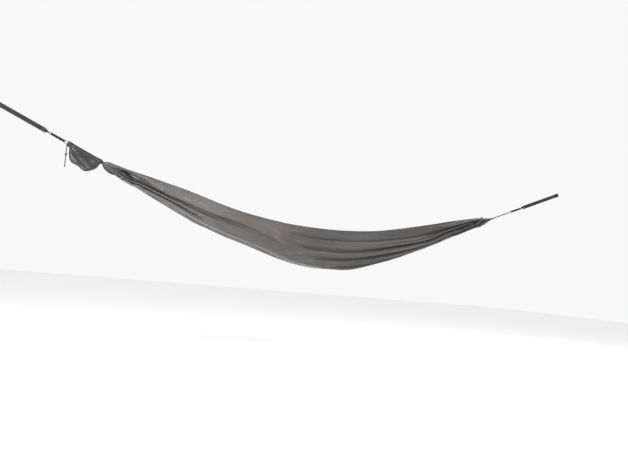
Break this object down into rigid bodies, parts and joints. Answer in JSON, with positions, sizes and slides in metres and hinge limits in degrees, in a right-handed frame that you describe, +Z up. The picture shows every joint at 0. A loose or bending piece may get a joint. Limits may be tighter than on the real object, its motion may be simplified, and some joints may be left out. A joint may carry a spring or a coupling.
{
  "type": "camping hammock",
  "caption": "Gathered-end nylon hammock hung between two webbing straps, with a carabiner at each end and an empty stuff sack on one suspension cord.",
  "frame": {"origin": "inside of the left anchor loop's far end, where a post or limb bears", "axes": "+X runs level to the right anchor loop, +Z is up, and y = 0 is the hanging plane"},
  "size_m": [4.0107, 0.3626, 0.7543],
  "materials": {
    "hammock_fabric": "satin",
    "hem_fabric": "satin",
    "sack_fabric": "satin",
    "suspension_cord": "matte",
    "binding_cord": "matte",
    "webbing": "satin",
    "stitching": "matte",
    "anodised_metal": "satin",
    "spring_steel": "brushed",
    "lock_plastic": "matte"
  },
  "bodies": {
    "anchors": {"left_anchor_loop": "webbing", "left_loop_bartack": "stitching", "right_anchor_loop": "webbing", "right_loop_bartack": "stitching"},
    "hammock": {"hammock_body": "hammock_fabric", "near_hem": "hem_fabric", "far_hem": "hem_fabric", "left_end_channel": "hammock_fabric", "left_whipping": "binding_cord", "left_cord_sleeve": "binding_cord", "left_suspension_cord": "suspension_cord", "left_carabiner": "anodised_metal", "left_gate_pin": "spring_steel", "left_strap": "webbing", "left_strap_bartack": "stitching", "right_end_channel": "hammock_fabric", "right_whipping": "binding_cord", "right_cord_sleeve": "binding_cord", "right_suspension_cord": "suspension_cord", "right_carabiner": "anodised_metal", "right_gate_pin": "spring_steel", "right_strap": "webbing", "right_strap_bartack": "stitching"},
    "left_gate": {"left_gate": "anodised_metal", "left_gate_spring": "spring_steel", "left_gate_plunger": "spring_steel"},
    "right_gate": {"right_gate": "anodised_metal", "right_gate_spring": "spring_steel", "right_gate_plunger": "spring_steel"},
    "sack": {"sack_body": "sack_fabric", "sack_elastic": "binding_cord", "drawcord_outer_tail": "binding_cord", "drawcord_inner_tail": "binding_cord", "drawcord_knot": "binding_cord"},
    "cord_lock": {"lock_barrel": "lock_plastic", "lock_spring": "spring_steel"},
    "lock_button": {"lock_button": "lock_plastic"}
  },
  "joints": [
    {"name": "hammock_swing", "type": "hinge", "parent": "anchors", "child": "hammock", "pos_m": [0.05728, 0, -0.02373], "axis": [1, 0, 0], "range_deg": [-40, 40]},
    {"name": "left_gate_open", "type": "hinge", "parent": "hammock", "child": "left_gate", "pos_m": [0.39357, 0.018, -0.16302], "axis": [-0.3827, 0, -0.9239], "range_deg": [0, 28], "stiffness_Nm_per_rad": 0.035, "springref_deg": -28.65},
    {"name": "right_gate_open", "type": "hinge", "parent": "hammock", "child": "right_gate", "pos_m": [3.60355, -0.018, -0.16302], "axis": [0.3827, 0, -0.9239], "range_deg": [0, 28], "stiffness_Nm_per_rad": 0.035, "springref_deg": -28.65},
    {"name": "sack_swing", "type": "hinge", "parent": "hammock", "child": "sack", "pos_m": [0.5377, 0, -0.22272], "axis": [-0.9239, 0, 0.3827], "range_deg": [-30, 30]},
    {"name": "cord_lock_slide", "type": "slide", "parent": "sack", "child": "cord_lock", "axis": [0, 0, -1], "range_m": [-0.03, 0.045]},
    {"name": "lock_button_press", "type": "slide", "parent": "cord_lock", "child": "lock_button", "axis": [0, 1, 0], "range_m": [0, 0.0035], "stiffness_N_per_m": 400, "springref_m": -0.002, "deforming": ["lock_spring"]}
  ]
}
